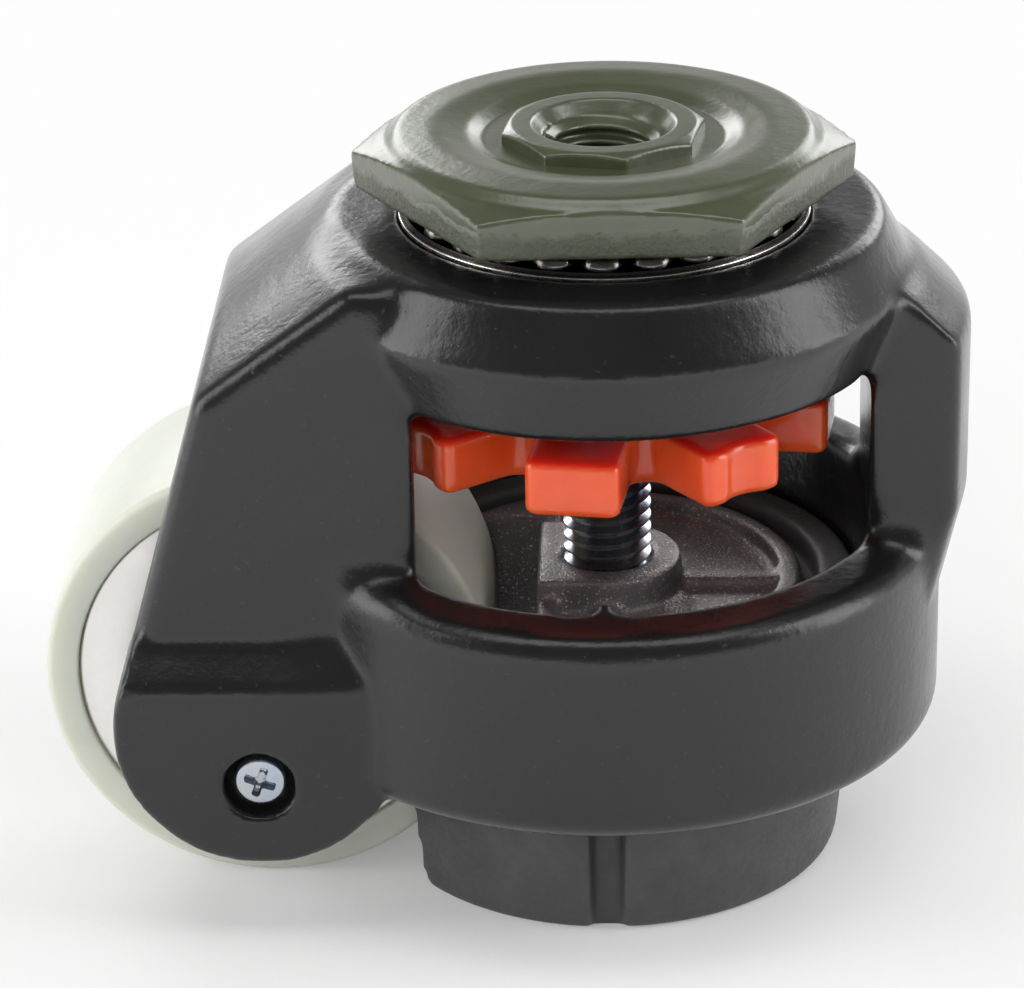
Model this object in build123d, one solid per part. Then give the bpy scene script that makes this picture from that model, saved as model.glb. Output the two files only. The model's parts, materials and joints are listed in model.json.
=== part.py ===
from build123d import *
import os
from math import cos, radians, sin, sqrt, tan

# Levelling castor. Millimetres. The swivel axis is Z, the floor is z = 0, the wheel lies toward -X
# and its axle runs along Y. At rest the wheel and the foot both stand on the floor.

os.makedirs("parts", exist_ok=True)

# ---- fits ----------------------------------------------------------------------------------------
FIT = 0.05                  # radial running clearance of shafts, seats and threads
SIDE_GAP = 0.5              # side clearance of a piece that slides in a slot
SHOE_GAP = 0.3              # radial clearance of the rubber shoe in the ring
OVER = 1.0                  # how far a cutting tool passes the face that it opens

# ---- wheel ---------------------------------------------------------------------------------------
WHEEL_R = 25.0
WHEEL_W = 24.5
WHEEL_X = -38.0             # trail of the wheel behind the swivel axis
TYRE_WALL = 3.7             # nylon band outside the core
TYRE_EDGE = 0.9             # rounding of the band's two edges
TYRE_RIB_H = 1.2            # rib inside the band that keys it to the core
TYRE_RIB_Y = 2.5
TYRE_LAP = 0.5              # the rib's root runs this far into the band
CORE_RECESS = 0.6           # core faces lie this much below the band's edges
BUSH_R = 6.0
BUSH_FLANGE_R = 8.5
BUSH_FLANGE_T = 1.0
BUSH_L = 10.0
AXLE_R = 4.0
AXLE_FLAT = 1.0             # depth of each flat at the axle's ends
SPACER_R = 7.5
SPACER_T = 0.9

# ---- head: plate, nut and kingpin ----------------------------------------------------------------
HEAD_TURN = 2.2             # the head's rest angle about the swivel axis, degrees
PLATE_GAP = 2.6             # the plate's underside lies this far above the dome
PLATE_R = 27.7              # to the hexagon's corners
PLATE_FLAT_R = 24.2         # the top falls away outside this radius
PLATE_T = 5.4
PLATE_CORNER_DROP = 1.3
PLATE_DRAFT_DEG = 7.0       # the sides draw in toward the underside
PLATE_CORNER_ROUND = 0.8
CROWN_R = 23.8              # foot of the pressed crown
CROWN_TOP_R = 22.2
CROWN_RISE = 0.9
CROWN_BULGE = 0.35
CROWN_ROUND = 1.0
DISH_R = 13.2               # recess round the nut
TRACK_DIP = 0.35            # depth of the ball track pressed in the underside
NUT_R = 11.2                # to the octagon's corners
NUT_TURN = 12.0
NUT_RISE = 1.6
NUT_FACE_R = 10.1
NUT_CHAMFER_DROP = 0.5
THREAD_R = 5.1              # M12, minor radius
THREAD_MOUTH_R = 7.85
THREAD_L = 16.0
DRILL_DEG = 30.0            # slope of the drilled hole's end
KINGPIN_R = 9.0
KINGPIN_RIVET_R = 10.2
KINGPIN_RIVET_T = 1.0

# ---- ball bearings -------------------------------------------------------------------------------
BALL_R = 2.38
UPPER_TRACK_R = 19.5
UPPER_BALLS = 24
UPPER_CUP_R = 22.5
UPPER_CUP_WALL = 0.55
UPPER_CUP_FLOOR = 1.2
UPPER_CUP_LIP_R = 16.4
LOWER_BALL_R = 2.0
LOWER_TRACK_R = 14.0
LOWER_BALLS = 20
LOWER_CUP_R = 17.4
LOWER_CUP_WALL = 0.8
LOWER_CUP_FLOOR = 1.0
CONE_R = 16.2
CONE_FLOOR = 1.6
CONE_RIM = 0.6              # height of the cone's rim beside its track
CONE_NECK = 0.9             # wall of the cone's neck round the kingpin
TRACK_DEPTH = 0.6           # how deep the balls sit in a cup's track
CUP_BORE_GAP = 0.6          # the lower cup's bore is this much wider than the web's
CUP_GAP = 3.2               # web left between the two cups

# ---- housing -------------------------------------------------------------------------------------
DOME_TOP = 76.3
DOME_TOP_R = 30.5
DOME_SHOULDER_DROP = 6.7
DOME_SHOULDER_R = 34.2
DOME_H = 15.2
DOME_BOTTOM_R = 31.0
DOME_INNER_R = 27.4
DOME_ROUND = 1.2
WEB_T = 11.7                # from the dome's top to the underside of the bearing web
WEB_BORE_R = 10.0

HOOD_Y = 23.8               # outer face of the hood's side plates
HOOD_WALL = 4.5
HOOD_CORNER_X = -43.9           # where the roof meets the end wall, at the side plates
HOOD_CORNER_DROP = 14.1
HOOD_ROOF_DEG = 35.6            # slope of the space under the roof
HOOD_CONE_DEG = 38.3            # slope of the outside, part of a wide cone
HOOD_CONE_X = 20.0              # the cone's upright axis
HOOD_STEP = 1.0                 # the hood's top lies this far below the dome's
HOOD_EDGE_ROUND = 2.4
HOOD_CORNER_ROUND = 3.0
HOOD_LEAN_DEG = 155.0           # where the end wall runs into the cheek's lobe, round the axle
HOOD_WINDOW_X = -20.5       # the plates end here, at the windows
WHEEL_GAP = 1.5             # clearance over the wheel where it leaves the hood
ARCH_ROUND = 6.0

CHEEK_Y = 27.5              # outer face of the thick cheeks
CHEEK_IN_Y = 13.4
CHEEK_TOP = 34.5
CHEEK_R = 15.9
CHEEK_LAP = 0.5             # the sloping shelf runs this far into the hood plate
CHEEK_ROUND = 1.5
SHELF_ROUND = 1.0

RING_R = 37.5
RING_TOP = 41.4
RING_TOP_R = 30.5           # inner edge of the ring's top
RING_TOP_DROP = 0.55
RING_STEP_Z = 33.0          # the bore opens toward the top above this
RING_BOTTOM = 17.2
RING_ROUND = 1.6
RING_FOOT_ROUND = 2.6

PILLAR_Y = 12.7
PILLAR_PROUD = 2.8          # the post stands this far outside the ring
PILLAR_IN_X = 28.9
PILLAR_TAPER_Z = 45.0       # the outside draws in to the ring below this
PILLAR_TAPER_END_Z = 33.0
PILLAR_ROOF_R = 34.8        # the roof leaves the dome here
PILLAR_ROOF_DROP = 6.3
PILLAR_EAVES_DROP = 11.7
PILLAR_EDGE_ROUND = 1.7

KEY_TIP_R = 27.2            # guide rib inside the ring's mouth
KEY_TIP_W = 1.6
KEY_ROOT_W = 4.3

# ---- axle fixing ---------------------------------------------------------------------------------
AXLE_END_Y = 21.8
KEEPER_W = 8.0
KEEPER_H = 9.0
KEEPER_CHAMFER = 1.0
SCREW_DROP = 6.1            # keeper screws lie this far below the axle
SCREW_R = 1.5
SCREW_HEAD_R = 2.8
SCREW_HEAD_T = 1.7
SCREW_HEAD_DOME = 0.45      # share of the head's height that is rounded
SCREW_CROSS_L = 2.8         # cross recess
SCREW_CROSS_W = 0.75
SCREW_CROSS_DEPTH = 0.8
SCREW_SINK = 1.0            # screw heads lie this far inside the cheek
SCREW_POCKET_R = 3.9
SCREW_L = 9.0
SCREW_PLAY = 0.2            # clearance hole in the cheek

# ---- levelling drive -----------------------------------------------------------------------------
STAR_DROP = 26.4            # from the dome's top to the star wheel's underside
STAR_T = 6.3
STAR_LOBES = 8
STAR_TURN = -98.0           # direction of one plain lobe, degrees from +X
STAR_R = 25.2               # to the outer faces of the lobes
STAR_LOBE_W = 10.3
STAR_LOBE_ROUND = 1.2
STAR_WEB_R = 16.6
STAR_VALLEY_ROUND = 1.8
STAR_EDGE = 0.8
STAR_GROOVE_R = 5.0         # finger groove in every other lobe
STAR_GROOVE_DEPTH = 0.7
STAR_GROOVE_ROUND = 1.3
STAR_HUB_RISE = 2.4
STAR_HUB_R = 8.5
STAR_HUB_DROP = 1.3
DRIVE_SCREW_R = 5.0         # M10
DRIVE_PITCH = 1.5
DRIVE_SCREW_BOTTOM = 17.0
DRIVE_SCREW_CHAMFER = 0.8
COLLAR_R = 7.0
COLLAR_T = 1.9
JOURNAL_R = 4.0
JOURNAL_L = 4.4
THRUST_R = 10.0
THRUST_T = 1.0
STAR_PIN_R = 1.25
STAR_PIN_RISE = 0.9         # the pin's axis lies this far above the web
STAR_PIN_SHORT = 0.6        # the pin ends this far inside the hub
CLIP_WIRE_R = 0.5
CLIP_OPENING = 2.0

# ---- foot ----------------------------------------------------------------------------------------
FOOT_LIFT = 6.0             # travel up from rest
FOOT_DROP = 8.0             # travel down from rest
PAD_R = 27.9
PAD_TAPER_Z = 17.0          # the shoe draws in to the sole below this
PAD_SOLE_R = 26.2
PAD_SOLE_ROUND = 1.5
PAD_TOP = 32.8
PAD_SOLE_T = 6.0
PAD_MOUTH_R = 23.8
PAD_MOUTH_H = 3.0
PAD_GROOVE_R = 24.7         # floor of the guide groove
PAD_GROOVE_FLOOR_W = 3.1
PAD_GROOVE_MOUTH_W = 4.4
PAD_NOTCH_Y = 16.0          # the shoe is cut back further than the casting
CASTING_R = 22.1
CASTING_TOP = 32.5
CASTING_RIM = 2.6
CASTING_ROUND = 1.0
CASTING_POCKET = 2.0
BOSS_R = 8.4
BOSS_TOP = 34.6
RIB_W = 2.6
RIB_DROP = 0.8
NOTCH_X = -7.9              # end wall of the notch that clears the wheel
NOTCH_Y = 13.6

# ---- worked out ----------------------------------------------------------------------------------
WHEEL_Z = WHEEL_R
PLATE_BOTTOM = DOME_TOP + PLATE_GAP
DOME_SHOULDER = DOME_TOP - DOME_SHOULDER_DROP
DOME_BOTTOM = DOME_TOP - DOME_H
WEB_BOTTOM = DOME_TOP - WEB_T
HOOD_CORNER = (HOOD_CORNER_X, DOME_TOP - HOOD_CORNER_DROP)
CHEEK_SHELF = CHEEK_Y - HOOD_Y
PILLAR_R = RING_R + PILLAR_PROUD
PILLAR_ROOF_Z = DOME_TOP - PILLAR_ROOF_DROP
PILLAR_EAVES_Z = DOME_TOP - PILLAR_EAVES_DROP
STAR_BOTTOM = DOME_TOP - STAR_DROP
STAR_HUB_BOTTOM = STAR_BOTTOM - STAR_HUB_DROP
CORE_R = WHEEL_R - TYRE_WALL
PLATE_TOP = PLATE_BOTTOM + PLATE_T
CROWN_Z = PLATE_TOP + CROWN_RISE
NUT_TOP = PLATE_TOP + NUT_RISE
UPPER_BALL_Z = PLATE_BOTTOM + TRACK_DIP - BALL_R - FIT
CUP_FLOOR_Z = UPPER_BALL_Z - BALL_R - FIT
CUP_BOTTOM = CUP_FLOOR_Z - UPPER_CUP_FLOOR
LOWER_CUP_TOP = CUP_BOTTOM - CUP_GAP
LOWER_BALL_Z = LOWER_CUP_TOP - LOWER_CUP_FLOOR - FIT - LOWER_BALL_R
CONE_BOTTOM = LOWER_BALL_Z - LOWER_BALL_R - FIT - CONE_FLOOR
KINGPIN_BOTTOM = CONE_BOTTOM - KINGPIN_RIVET_T
COLLAR_TOP = KINGPIN_BOTTOM - THRUST_T
STAR_TOP = STAR_BOTTOM + STAR_T
HOOD_ROOF_SLOPE = tan(radians(HOOD_ROOF_DEG))
HOOD_CONE_SLOPE = tan(radians(HOOD_CONE_DEG))
HOOD_TOP = DOME_TOP - HOOD_STEP
SCREW_Z = WHEEL_Z - SCREW_DROP
GUIDE_R = PAD_R + SHOE_GAP
KEY_GUIDE_R = PAD_GROOVE_R + SIDE_GAP


# ---- helpers -------------------------------------------------------------------------------------
def polygon(plane, points):
    """A filled outline through the points, on a plane."""
    return plane * make_face(Polyline(*points, close=True))


def turned(points):
    """A ring turned about Z from an outline of (radius, height) points."""
    return revolve(polygon(Plane.XZ, points), Axis.Z)


def disc(radius, low, high, bore=0.0):
    """A round plate about Z, from one height to another, with an optional bore."""
    body = Pos(0, 0, low) * extrude(Circle(radius), high - low)
    if bore:
        body -= Pos(0, 0, low - OVER) * extrude(Circle(bore), high - low + 2 * OVER)
    return body


def block(x0, x1, y0, y1, z0, z1):
    """A box given by its limits."""
    return Pos((x0 + x1) / 2, (y0 + y1) / 2, (z0 + z1) / 2) * Box(x1 - x0, y1 - y0, z1 - z0)


def cross_rod(radius, x, z, y0, y1):
    """A rod along Y."""
    return Pos(x, y0, z) * Rot(-90, 0, 0) * extrude(Circle(radius), y1 - y0)


def slab(outline, half_width):
    """An outline of (x, z) points made as thick as twice half_width, centred on y = 0."""
    return extrude(polygon(Plane.XZ, outline), half_width, both=True)


def ball_row(count, track_radius, ball_radius, height, start=0.0):
    """A full row of loose balls on a circle."""
    step = 360 / count
    ball = Pos(track_radius, 0, height) * Sphere(ball_radius)
    return [Rot(0, 0, start + i * step) * ball for i in range(count)]


def track(track_radius, groove_radius, height):
    """The ring-shaped tool that cuts a ball track."""
    return Pos(0, 0, height) * Torus(track_radius, groove_radius)


def save(name, *solids):
    """Write one node; a node of several solids is written as a compound."""
    shape = solids[0] if len(solids) == 1 else Compound(children=list(solids))
    shape.label = name
    export_step(shape, f"parts/{name}.step")


# ---- head ----------------------------------------------------------------------------------------
def mounting_plate():
    """Pressed hexagonal plate: conical corners, a crown on top and a ball track underneath."""
    crown_mid_r = (CROWN_TOP_R + DISH_R) / 2
    corner_z = PLATE_TOP - PLATE_CORNER_DROP
    top = Polyline((0, PLATE_BOTTOM), (PLATE_R, PLATE_BOTTOM), (PLATE_R, corner_z),
                   (PLATE_FLAT_R, PLATE_TOP), (CROWN_R, PLATE_TOP), (CROWN_TOP_R, CROWN_Z))
    crown = ThreePointArc((CROWN_TOP_R, CROWN_Z), (crown_mid_r, CROWN_Z + CROWN_BULGE),
                          (DISH_R, PLATE_TOP))
    close = Polyline((DISH_R, PLATE_TOP), (0, PLATE_TOP), (0, PLATE_BOTTOM))
    outline = Plane.XZ * make_face(top + crown + close)
    ridge = [v for v in outline.vertices() if abs(v.X - CROWN_TOP_R) < 0.01]
    body = revolve(fillet(ridge, CROWN_ROUND), Axis.Z)
    body &= hexagon_prism()
    body -= track(UPPER_TRACK_R, BALL_R + FIT, UPPER_BALL_Z)
    return body - disc(KINGPIN_R, PLATE_BOTTOM - OVER, NUT_TOP)


def hexagon_prism():
    """The plate's outline: drafted sides below its top face, upright above it."""
    hexagon = Rot(0, 0, HEAD_TURN) * RegularPolygon(PLATE_R, 6)
    hexagon = Pos(0, 0, PLATE_TOP) * fillet(hexagon.vertices(), PLATE_CORNER_ROUND)
    above = extrude(hexagon, CROWN_RISE + 3 * OVER)
    return above + extrude(hexagon, PLATE_T + OVER, dir=(0, 0, -1), taper=PLATE_DRAFT_DEG)


def stem_nut():
    """Octagon head, threaded from above, in one piece with the kingpin that carries the bearings."""
    outline = Rot(0, 0, NUT_TURN) * RegularPolygon(NUT_R, 8)
    octagon = Pos(0, 0, PLATE_TOP) * extrude(outline, NUT_RISE)
    wide = NUT_R + OVER
    cone_drop = NUT_CHAMFER_DROP * (wide - NUT_FACE_R) / (NUT_R - NUT_FACE_R)
    octagon &= turned([(0, PLATE_TOP - OVER), (wide, PLATE_TOP - OVER), (wide, NUT_TOP - cone_drop),
                       (NUT_FACE_R, NUT_TOP), (0, NUT_TOP)])
    body = octagon + disc(KINGPIN_R, KINGPIN_BOTTOM, PLATE_TOP)
    body += disc(KINGPIN_RIVET_R, KINGPIN_BOTTOM, CONE_BOTTOM)
    mouth = THREAD_MOUTH_R - THREAD_R
    thread_end = NUT_TOP - THREAD_L
    drill_end = thread_end - THREAD_R * tan(radians(DRILL_DEG))
    body -= turned([(0, drill_end), (THREAD_R, thread_end), (THREAD_R, NUT_TOP - mouth),
                    (THREAD_MOUTH_R, NUT_TOP), (THREAD_MOUTH_R, NUT_TOP + OVER), (0, NUT_TOP + OVER)])
    journal_seat = disc(JOURNAL_R + FIT, KINGPIN_BOTTOM - OVER, KINGPIN_BOTTOM + JOURNAL_L + SIDE_GAP)
    clip_groove = track(JOURNAL_R + FIT, CLIP_WIRE_R + FIT, KINGPIN_BOTTOM + JOURNAL_L / 2)
    return body - journal_seat - clip_groove


def lower_race_cone():
    """Lower ball track, pressed on the kingpin and held by its riveted end."""
    lip = LOWER_BALL_Z
    rim = CONE_BOTTOM + CONE_FLOOR + CONE_RIM
    body = turned([(KINGPIN_R, CONE_BOTTOM), (CONE_R, CONE_BOTTOM), (CONE_R, rim),
                   (KINGPIN_R + CONE_NECK, lip), (KINGPIN_R, lip)])
    return body - track(LOWER_TRACK_R, LOWER_BALL_R + FIT, LOWER_BALL_Z)


# ---- bearing cups, seated in the housing ---------------------------------------------------------
def upper_race_cup():
    """Pressed ring with an upright rim; the balls of the upper row run in it."""
    inside = UPPER_CUP_R - UPPER_CUP_WALL
    floor = CUP_FLOOR_Z + TRACK_DEPTH
    body = turned([(UPPER_CUP_LIP_R, CUP_BOTTOM), (UPPER_CUP_R, CUP_BOTTOM), (UPPER_CUP_R, DOME_TOP),
                   (inside, DOME_TOP), (inside, UPPER_BALL_Z), (UPPER_TRACK_R, floor),
                   (UPPER_CUP_LIP_R, floor)])
    return body - track(UPPER_TRACK_R, BALL_R + FIT, UPPER_BALL_Z)


def lower_race_cup():
    """Pressed ring under the web; the balls of the lower row run in it."""
    bore = WEB_BORE_R + CUP_BORE_GAP
    inside = LOWER_CUP_R - LOWER_CUP_WALL
    floor = LOWER_CUP_TOP - LOWER_CUP_FLOOR - TRACK_DEPTH
    body = turned([(bore, LOWER_CUP_TOP), (LOWER_CUP_R, LOWER_CUP_TOP), (LOWER_CUP_R, LOWER_BALL_Z),
                   (inside, LOWER_BALL_Z), (inside, floor), (bore, floor)])
    return body - track(LOWER_TRACK_R, LOWER_BALL_R + FIT, LOWER_BALL_Z)


# ---- housing -------------------------------------------------------------------------------------
def dome():
    """Top of the casting: flat rim, conical shoulder, wall drawn in toward the windows."""
    outline = polygon(Plane.XZ, [(0, DOME_BOTTOM), (DOME_BOTTOM_R, DOME_BOTTOM),
                                 (DOME_SHOULDER_R, DOME_SHOULDER), (DOME_TOP_R, DOME_TOP),
                                 (0, DOME_TOP)])
    corners = [v for v in outline.vertices() if v.X > 1]
    return revolve(fillet(corners, DOME_ROUND), Axis.Z)


def ring():
    """Bottom ring: sloping top, rounded rim, plain wall with a well rounded lower edge."""
    drop_z = RING_TOP - RING_TOP_DROP
    outline = polygon(Plane.XZ, [(0, RING_BOTTOM), (RING_R, RING_BOTTOM), (RING_R, drop_z),
                                 (RING_TOP_R, RING_TOP), (0, RING_TOP)])
    rim = [v for v in outline.vertices() if v.X > 1 and abs(v.Z - drop_z) < 0.01]
    outline = fillet(rim, RING_ROUND)
    foot = [v for v in outline.vertices() if v.X > 1 and abs(v.Z - RING_BOTTOM) < 0.01]
    return revolve(fillet(foot, RING_FOOT_ROUND), Axis.Z)


def lobe_point(angle):
    """A point on the cheek's round lobe, at an angle about the axle."""
    turn = radians(angle)
    return WHEEL_X + CHEEK_R * cos(turn), WHEEL_Z + CHEEK_R * sin(turn)


def end_wall_lean():
    """How far the end wall leans back for each millimetre of height."""
    foot_x, foot_z = lobe_point(HOOD_LEAN_DEG)
    corner_x, corner_z = HOOD_CORNER
    return (corner_x - foot_x) / (corner_z - foot_z)


def side_outline():
    """Hood, cheek lobe and plate edge seen from the side, as far as the swivel axis."""
    corner_x, corner_z = HOOD_CORNER
    wall_top = (corner_x + end_wall_lean() * (HOOD_TOP - corner_z), HOOD_TOP)
    lobe_left = lobe_point(HOOD_LEAN_DEG)
    lobe_right = (WHEEL_X + sqrt(CHEEK_R ** 2 - (RING_BOTTOM - WHEEL_Z) ** 2), RING_BOTTOM)
    edges = Polyline((0, HOOD_TOP), wall_top, lobe_left)
    lobe = ThreePointArc(lobe_left, lobe_point(230), lobe_right)
    close = Polyline(lobe_right, (0, RING_BOTTOM), (0, HOOD_TOP))
    return Plane.XZ * make_face(edges + lobe + close)


def roof_cone():
    """The space under the roof's outer face, which is part of a wide upright cone."""
    corner_x, corner_z = HOOD_CORNER
    corner_r = sqrt((corner_x - HOOD_CONE_X) ** 2 + HOOD_Y ** 2)
    top_r = corner_r - (HOOD_TOP - corner_z) / HOOD_CONE_SLOPE
    foot_r = corner_r + corner_z / HOOD_CONE_SLOPE
    outline = [(0, 0), (foot_r, 0), (top_r, HOOD_TOP), (0, HOOD_TOP)]
    return Pos(HOOD_CONE_X, 0, 0) * turned(outline)


def hood():
    """The two side plates, roof and end wall as one block, with rounded roof edges."""
    body = extrude(side_outline(), HOOD_Y, both=True) & roof_cone()
    middle = [e for e in body.edges() if abs(e.center().Y) < 0.01]
    ridge = [e for e in middle if e.center().X < HOOD_CORNER[0] + 4 and e.center().Z > HOOD_CORNER[1]]
    body = fillet(ridge, HOOD_CORNER_ROUND)
    sides = [e for e in body.edges() if abs(abs(e.center().Y) - HOOD_Y) < 0.01]
    roof = [e for e in sides if e.center().Z > CHEEK_TOP and e.center().X < -1]
    return fillet(roof, HOOD_EDGE_ROUND)


def cheeks():
    """The thick lower cheeks, with a sloping shelf back to the hood plates."""
    body = extrude(side_outline(), CHEEK_Y, both=True)
    top = CHEEK_TOP + CHEEK_LAP
    slope = CHEEK_SHELF + CHEEK_LAP
    body &= block(2 * HOOD_CORNER_X, 0, -CHEEK_Y - OVER, CHEEK_Y + OVER, 0, top)
    outer = [e for e in body.edges() if abs(abs(e.center().Y) - CHEEK_Y) < 0.01]
    body = chamfer([e for e in outer if abs(e.center().Z - top) < 0.01], slope)
    outer = [e for e in body.edges() if abs(abs(e.center().Y) - CHEEK_Y) < 0.01]
    return fillet([e for e in outer if abs(e.center().Z - top + slope) < 0.01], CHEEK_ROUND)


def side_plates():
    """Hood and cheeks as one body, open at the windows, with the shelf's root rounded."""
    plates = hood() - block(HOOD_WINDOW_X, OVER, -HOOD_Y - OVER, HOOD_Y + OVER, RING_TOP, DOME_TOP)
    body = plates + cheeks()
    level = [e for e in body.edges().filter_by(Axis.X) if abs(e.center().Z - CHEEK_TOP) < 0.01]
    return fillet([e for e in level if abs(abs(e.center().Y) - HOOD_Y) < 0.01], SHELF_ROUND)


def pillar():
    """The post opposite the wheel, part of a turned surface cut to a narrow width."""
    inner = PILLAR_IN_X - 4
    over_roof = PILLAR_ROOF_Z + OVER
    outline = [(inner, RING_TOP - 8), (RING_R, PILLAR_TAPER_END_Z), (PILLAR_R, PILLAR_TAPER_Z),
               (PILLAR_R, PILLAR_EAVES_Z), (PILLAR_ROOF_R, PILLAR_ROOF_Z),
               (DOME_TOP_R, over_roof), (inner, over_roof)]
    width = block(0, PILLAR_R + OVER, -PILLAR_Y, PILLAR_Y, RING_BOTTOM, DOME_TOP)
    body = turned(outline) & width
    sides = [e for e in body.edges() if abs(abs(e.center().Y) - PILLAR_Y) < 0.01]
    rim = [e for e in sides if e.center().X > RING_R - 2]
    rim += [e for e in body.edges() if abs(e.center().Z - PILLAR_EAVES_Z) < 0.01 and e.center().X > RING_R]
    return fillet(rim, PILLAR_EDGE_ROUND)


def upright_wedge(tip_r, tip_w, root_r, root_w, low, high):
    """An upright bar toward -Y whose width changes evenly between two radii."""
    outline = [(-tip_w / 2, -tip_r), (tip_w / 2, -tip_r), (root_w / 2, -root_r), (-root_w / 2, -root_r)]
    return Pos(0, 0, low) * extrude(make_face(Polyline(*outline, close=True)), high - low)


def groove_width(radius):
    """Width of the shoe's guide groove at a radius."""
    spread = (PAD_GROOVE_MOUTH_W - PAD_GROOVE_FLOOR_W) / (PAD_R - PAD_GROOVE_R)
    return PAD_GROOVE_FLOOR_W + spread * (radius - PAD_GROOVE_R)


def guide_key():
    """The upright rib inside the ring that runs in the shoe's groove, and its nose in the mouth."""
    root_r = RING_TOP_R + OVER
    nose = upright_wedge(KEY_TIP_R, KEY_TIP_W, root_r, KEY_ROOT_W, RING_STEP_Z, RING_TOP)
    tip_w = groove_width(KEY_GUIDE_R) - SIDE_GAP
    root_w = groove_width(root_r) - SIDE_GAP
    low = RING_BOTTOM + RING_ROUND
    return nose + upright_wedge(KEY_GUIDE_R, tip_w, root_r, root_w, low, RING_STEP_Z)


def hood_space():
    """Room over the wheel between the side plates, and the arch where the wheel leaves the hood."""
    corner_x, corner_z = HOOD_CORNER
    floor = CHEEK_TOP + CHEEK_SHELF - CHEEK_LAP
    roof_z = corner_z - HOOD_WALL / cos(radians(HOOD_ROOF_DEG)) + HOOD_WALL * HOOD_ROOF_SLOPE
    top_left = (corner_x + HOOD_WALL, roof_z)
    top_right = (top_left[0] + (WEB_BOTTOM - roof_z) / HOOD_ROOF_SLOPE, WEB_BOTTOM)
    low_left = (top_left[0] - end_wall_lean() * (roof_z - floor), floor)
    inside_y = HOOD_Y - HOOD_WALL
    front_x = -GUIDE_R / 2
    room = slab([low_left, top_left, top_right, (front_x, WEB_BOTTOM), (front_x, floor)], inside_y)
    arch_top = 2 * WHEEL_R + WHEEL_GAP
    arch = block(WHEEL_X - 2 * WHEEL_R, WHEEL_X, -inside_y, inside_y, floor, arch_top)
    corners = [e for e in arch.edges().filter_by(Axis.X) if e.center().Z > arch_top - 0.1]
    return room + fillet(corners, ARCH_ROUND)


def keeper_slots():
    """A slot in the inner side of each cheek, open downward, for the axle's end and its keeper."""
    width = KEEPER_W / 2 + FIT
    tools = []
    for side in (-1, 1):
        y0, y1 = sorted((side * (CHEEK_IN_Y - OVER), side * (AXLE_END_Y + FIT)))
        tools.append(cross_rod(width, WHEEL_X, WHEEL_Z, y0, y1))
        tools.append(block(WHEEL_X - width, WHEEL_X + width, y0, y1, 0, WHEEL_Z))
    return tools


def keeper_screw_holes():
    """A pocket for each screw's head and a clearance hole through to the keeper."""
    tools = []
    pocket_end = CHEEK_Y - SCREW_SINK - SCREW_HEAD_T
    for side in (-1, 1):
        y0, y1 = sorted((side * pocket_end, side * (CHEEK_Y + OVER)))
        tools.append(cross_rod(SCREW_POCKET_R, WHEEL_X, SCREW_Z, y0, y1))
        y0, y1 = sorted((side * (AXLE_END_Y - OVER), side * CHEEK_Y))
        tools.append(cross_rod(SCREW_R + SCREW_PLAY, WHEEL_X, SCREW_Z, y0, y1))
    return tools


def housing():
    """The whole casting: the outside, then the spaces inside it."""
    body = dome() + side_plates() + ring() + pillar()
    reach = PILLAR_R + OVER
    body -= block(HOOD_WINDOW_X, PILLAR_IN_X, -reach, reach, RING_TOP, DOME_BOTTOM)
    body -= hood_space()
    body -= block(-2 * WHEEL_R + WHEEL_X, 0, -CHEEK_IN_Y, CHEEK_IN_Y, 0, CHEEK_TOP + CHEEK_SHELF + OVER)
    body -= disc(GUIDE_R, 0, RING_STEP_Z)
    body -= turned([(0, RING_STEP_Z), (GUIDE_R, RING_STEP_Z), (RING_TOP_R, RING_TOP),
                    (DOME_INNER_R, RING_TOP), (DOME_INNER_R, WEB_BOTTOM), (0, WEB_BOTTOM)])
    body -= turned([(0, WEB_BOTTOM - OVER), (LOWER_CUP_R, WEB_BOTTOM - OVER),
                    (LOWER_CUP_R, LOWER_CUP_TOP), (WEB_BORE_R, LOWER_CUP_TOP),
                    (WEB_BORE_R, CUP_BOTTOM), (UPPER_CUP_R, CUP_BOTTOM),
                    (UPPER_CUP_R, DOME_TOP + OVER), (0, DOME_TOP + OVER)])
    body += guide_key()
    for tool in keeper_slots() + keeper_screw_holes():
        body -= tool
    return body


# ---- axle and its fixing -------------------------------------------------------------------------
def axle():
    """Plain shaft with a flat under each end, where its keeper bears."""
    body = cross_rod(AXLE_R, WHEEL_X, WHEEL_Z, -AXLE_END_Y, AXLE_END_Y)
    flat_z = WHEEL_Z - AXLE_R + AXLE_FLAT
    for side in (-1, 1):
        y0, y1 = sorted((side * (CHEEK_IN_Y + SIDE_GAP), side * (AXLE_END_Y + OVER)))
        body -= block(WHEEL_X - AXLE_R, WHEEL_X + AXLE_R, y0, y1, 0, flat_z)
    return body


def axle_keeper(side):
    """Block that closes the slot under one end of the axle; the screw pulls it outward."""
    top = WHEEL_Z - AXLE_R + AXLE_FLAT
    y0, y1 = sorted((side * (CHEEK_IN_Y + SIDE_GAP + FIT), side * AXLE_END_Y))
    body = block(WHEEL_X - KEEPER_W / 2, WHEEL_X + KEEPER_W / 2, y0, y1, top - KEEPER_H, top)
    feet = [e for e in body.edges().filter_by(Axis.Y) if e.center().Z < top - KEEPER_H / 2]
    body = chamfer(feet, KEEPER_CHAMFER)
    return body - cross_rod(SCREW_R, WHEEL_X, SCREW_Z, y0 - OVER, y1 + OVER)


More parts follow.
